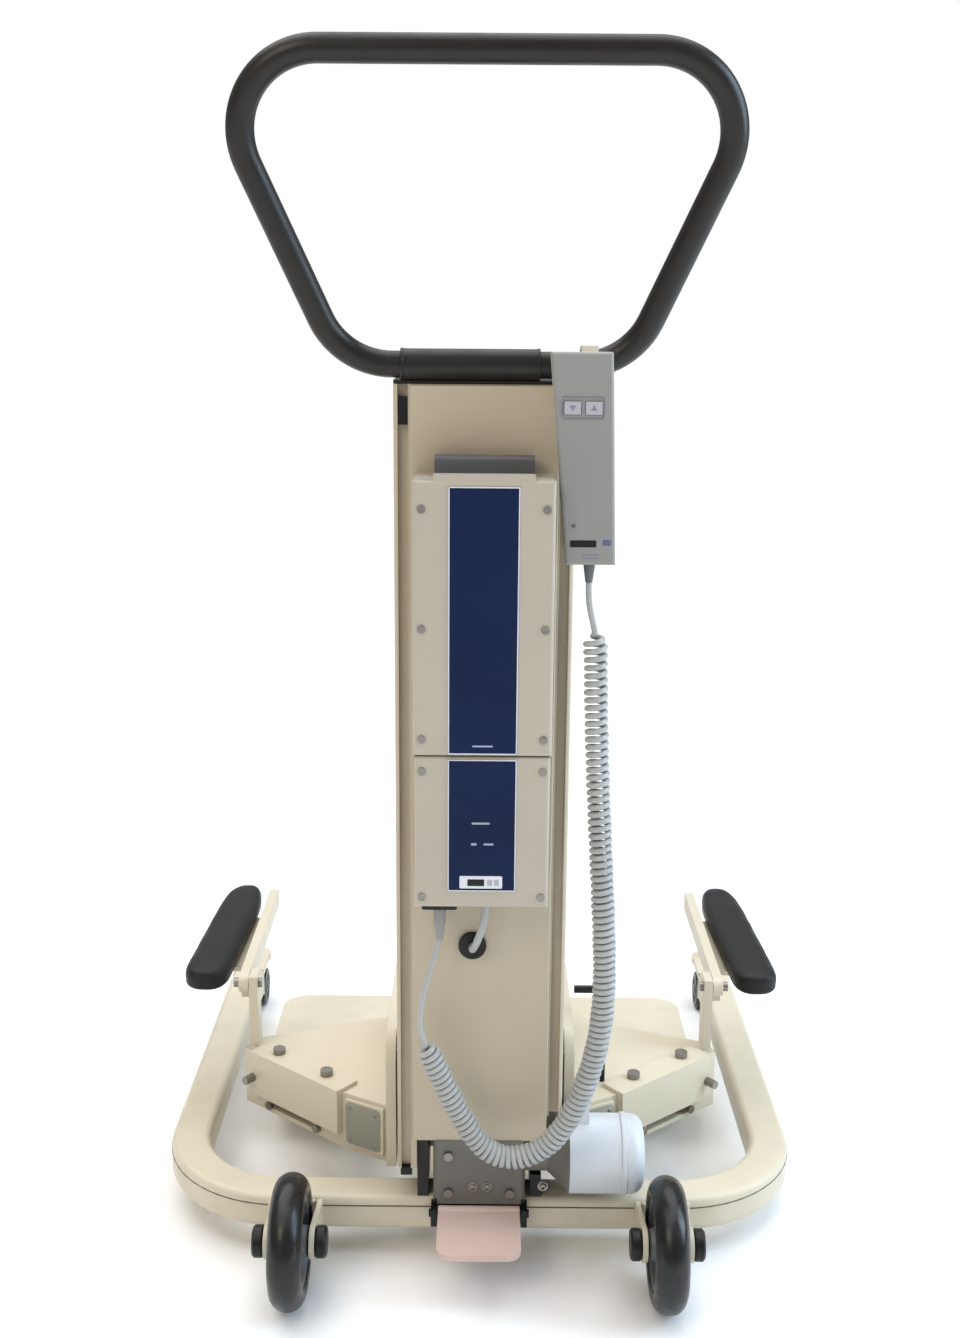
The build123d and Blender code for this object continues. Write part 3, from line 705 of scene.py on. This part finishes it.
def gusset_faces():
    """Grey plates screwed on the inner part of each wing's rear face."""
    start, end = WING_EDGE
    along = (end - start).normalized()
    off_face = Vector((along.y, -along.x))
    u0, u1, z0, z1 = GUSSET_FACE
    for word, side in SIDES.items():
        rings = []
        for proud, inset in GUSSET_STEPS:
            ring = []
            for u, z in rounded_rectangle(u0 + inset, u1 - inset, z0 + inset, z1 - inset, 5):
                spot = start + along * u + off_face * proud
                ring.append(at(spot.x * side, spot.y, z))
            rings.append(ring)
        shell(f"gusset_face_{word}", rings, "carriage", GUSSET_PAINT)
        for i, (u, z) in enumerate(GUSSET_RIVETS):
            spot = start + along * u + off_face * 4.6
            rivet(f"gusset_rivet_{word}_{i}", at(spot.x * side, spot.y, z), "carriage")


def rivet(name, centre, body):
    """A low dome facing the rear."""
    dome = [(0.05, -1.3), (1.2, -1.1), (2.2, -0.5), (2.6, 0.4)]
    lathe(name, dome, centre, body, CHROME, 20, "Y", closed=False)


# ---------- labels ----------
LABEL_BODIES = {"battery": "battery", "control": "chassis"}
DASHES = {                # x0, x1, z0, z1 of the short lines that stand for print, in mm
    "battery": [(-9, 9, 549.5, 551.2)],
    "control": [(-9, 7, 478.6, 480.6), (-9.5, -4.5, 459, 461.4), (1.5, 10.5, 459.2, 461.2)],
}
BORDER_IN = 0.4           # from the label's edge to the middle of its border line
PLATE_BACK = 1.9          # the display's pieces end this deep, inside the label
DISPLAY_KEYS_X = (5.2, 11.2)


def label_marks():
    """Border lines, generic dashes and the display plate of the two labels."""
    for word, body in LABEL_BODIES.items():
        low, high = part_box(f"{word}_label")
        low, high = low * 1000, high * 1000
        outline(f"{word}_label_border", low.x + BORDER_IN, high.x - BORDER_IN, low.z + BORDER_IN,
                high.z - BORDER_IN, 1.15, 1.0, 1.1, body, WHITE_INK)
    for word, marks in DASHES.items():
        for i, (x0, x1, z0, z1) in enumerate(marks):
            plate(f"{word}_dash_{i}", x0, x1, z0, z1, 1.0, 1.6, 0.7, LABEL_BODIES[word],
                  PALE_INK)
    plate("display_plate", -19.5, 18.5, 418.6, 430.4, 0.85, PLATE_BACK, 1.2, "chassis",
          WHITE_INK)
    plate("display_glass", -12.5, 2.5, 421.0, 427.4, 0.6, PLATE_BACK, 0.6, "chassis",
          MATERIALS["black_plastic"])
    for i, x in enumerate(DISPLAY_KEYS_X):
        plate(f"display_key_{i}", x, x + 4.4, 421.4, 427.0, 0.5, PLATE_BACK, 0.9, "chassis",
              MATERIALS["key_grey"])


# ---------- handset ----------
KEY_Z = 840.5             # the keys' middle height, in mm
ARROWS = {"down": (73.5, -1), "up": (91.5, 1)}      # each key's middle, and which way it points
ARROW_OUT = 1.62          # the arrows' face stands this far out of the shell
GRIP_LINES_Z = (712.5, 715.5)


def handset_details():
    """The window round the keys, their arrows, and the marks and lamp below."""
    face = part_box("handset_rear_shell")[0].y * 1000 + ORIGIN_Y
    outline("handset_window", 64.8, 100.4, 831.5, 849.6, face - 0.05, 2.6, 1.3, "handset",
            VIOLET_INK)
    plate("handset_plate", 73.6, 96.2, 722.6, 728.6, face - 0.35, face + 0.6, 1.0, "handset",
          MATERIALS["black_plastic"])
    plate("handset_mark", 101.6, 108.8, 724.2, 729.2, face - 0.3, face + 0.6, 0.8, "handset",
          BLUE_LENS)
    dome = [(0.01, -0.9), (0.9, -0.8), (1.7, -0.4), (2.0, 0.6)]
    lathe("handset_lamp", dome, at(76.4, face, 741), "handset", MATERIALS["dark_grey_plastic"],
          24, "Y", closed=False)
    for word, (x, way) in ARROWS.items():
        foot = KEY_Z - 2.0 * way
        corners = ((x, KEY_Z + 2.6 * way), (x - 2.8, foot), (x + 2.8, foot))
        ring = [at(u, face - ARROW_OUT, z) for u, z in corners]
        rings = [[p + Vector((0, 0.0008, 0)) for p in ring], ring]
        shell(f"key_arrow_{word}", rings, f"key_{word}", VIOLET_INK)
    for i, z in enumerate(GRIP_LINES_Z):
        plate(f"handset_grip_{i}", 84, 99, z, z + 1.0, face - 0.3, face + 0.5, 0.5, "handset",
              VIOLET_INK)


# ---------- fasteners and drive details ----------
# The first two sit on the gearbox. The third stands free, 9 mm to the right of its housing.
CAP_SCREWS = ((-6, 60, 84), (8, 60, 84), (62, 50, 92))
CAP_SCREW_R = 3.4
CAP_SCREW_H = 4.2


def cap_screw(name, centre, body):
    """Socket cap screw facing the rear, on a washer."""
    radius, height = CAP_SCREW_R, CAP_SCREW_H
    profile = [(radius * 1.5, 0.2), (radius * 1.5, -1.0), (radius * 1.02, -1.1)]
    profile += [(radius, -height + 0.6), (radius - 0.6, -height), (radius * 0.52, -height)]
    profile += [(radius * 0.46, -height * 0.5), (0.05, -height * 0.5)]
    lathe(name, profile, centre, body, CHROME, 36, "Y", closed=False)


def drive_details():
    """Cap screws at the gearbox, the motor's seam, and a black strip painted as the shadow in the
    gap over the pedal.
    """
    for i, spot in enumerate(CAP_SCREWS):
        cap_screw(f"gearbox_cap_screw_{i}", at(*spot), "chassis")
    band = [(38.05, -3), (39.2, -2.2), (39.2, 2.2), (38.05, 3)]
    lathe("motor_seam", band, at(140, 72, 115), "chassis", MATERIALS["motor_grey"])
    # Painted shade: a black strip that stands for the shadow in the gap over the pedal.
    plate("pedal_shadow_strip", -44, 44, 64.2, 70, 60.4, 63, 1.0, "chassis",
          MATERIALS["black_plastic"])


SLEEVE_ENDS_X = (-72, 46)


def handle_sleeve_ends():
    """Rolled lips at both ends of the handle's sleeve."""
    for i, x in enumerate(SLEEVE_ENDS_X):
        lip = [(13.4, -1.4), (14.1, -0.8), (14.1, 0.8), (13.4, 1.4), (12, 1.4), (12, -1.4)]
        lathe(f"sleeve_lip_{i}", lip, at(x, 70, 873.5), "chassis", MATERIALS["black_coat"],
              48)


# ---------- light and floor ----------
LAMP_AIM = (0, 0, 0.5)
AMBIENT = 0.38
SUN_STRENGTH = 2.7
SUN_ANGLE = 1.3           # radians: a broad, soft top light
FLOOR_HALF = 6.0          # metres


def lamp(name, place, size, power, colour):
    """A rectangular lamp that points at the middle of the lift."""
    data = bpy.data.lights.new(name, "AREA")
    data.shape = "RECTANGLE"
    data.size, data.size_y = size
    data.energy = power
    data.color = colour
    light = bpy.data.objects.new(name, data)
    light.location = place
    light.rotation_euler = (Vector(LAMP_AIM) - Vector(place)).to_track_quat("-Z", "Y").to_euler()
    bpy.context.scene.collection.objects.link(light)


def studio():
    """White all round for the eye, a dim ambient light, three lamps and a pale floor."""
    world = bpy.data.worlds.new("studio")
    world.use_nodes = True
    nodes, links = world.node_tree.nodes, world.node_tree.links
    ambient = nodes["Background"]
    ambient.inputs["Color"].default_value = (0.96, 0.98, 1, 1)
    ambient.inputs["Strength"].default_value = AMBIENT
    backdrop = nodes.new("ShaderNodeBackground")
    seen = nodes.new("ShaderNodeLightPath")
    choice = nodes.new("ShaderNodeMixShader")
    links.new(seen.outputs["Is Camera Ray"], choice.inputs[0])
    links.new(ambient.outputs[0], choice.inputs[1])
    links.new(backdrop.outputs[0], choice.inputs[2])
    links.new(choice.outputs[0], nodes["World Output"].inputs[0])
    backdrop.inputs["Color"].default_value = (1, 1, 1, 1)
    backdrop.inputs["Strength"].default_value = 1.0
    bpy.context.scene.world = world
    bpy.context.scene.view_settings.view_transform = "Standard"
    lamp("key_light", (-1.3, -2.1, 2.3), (1.2, 1.2), 22, (1.0, 0.88, 0.72))
    lamp("cool_side_light", (2.1, -0.4, 1.5), (1.2, 1.8), 52, (0.66, 0.83, 1.0))
    sky = bpy.data.lights.new("top_light", "SUN")
    sky.energy = SUN_STRENGTH
    sky.angle = SUN_ANGLE
    overhead = bpy.data.objects.new("top_light", sky)
    overhead.rotation_euler = (math.radians(-14), math.radians(-6), 0)
    bpy.context.scene.collection.objects.link(overhead)
    mesh = bpy.data.meshes.new("floor")
    turns = ((-1, -1), (1, -1), (1, 1), (-1, 1))
    corners = [(x * FLOOR_HALF, y * FLOOR_HALF, 0) for x, y in turns]
    mesh.from_pydata(corners, [], [(0, 1, 2, 3)])
    ground = bpy.data.objects.new("floor", mesh)
    pale = Finish("pale_floor", Specular_IOR_Level=0.2)
    tone = pale.spread(pale.noise(1.5, 2), 0.3, 0.7)
    pale.set(Base_Color=pale.blend(tone, (0.93, 0.93, 0.93, 1), (0.90, 0.90, 0.90, 1)))
    pale.set(Roughness=pale.spread(pale.noise(3), 0.3, 0.7, 0.7, 0.8))
    mesh.materials.append(pale.material)
    bpy.context.scene.collection.objects.link(ground)


cad_materials()
camera()
curly_cord()
rear_wheels()
castor_wheels()
arm_pads()
welds()
chassis_flange_shadow()
gusset_faces()
label_marks()
handset_details()
drive_details()
handle_sleeve_ends()
studio()
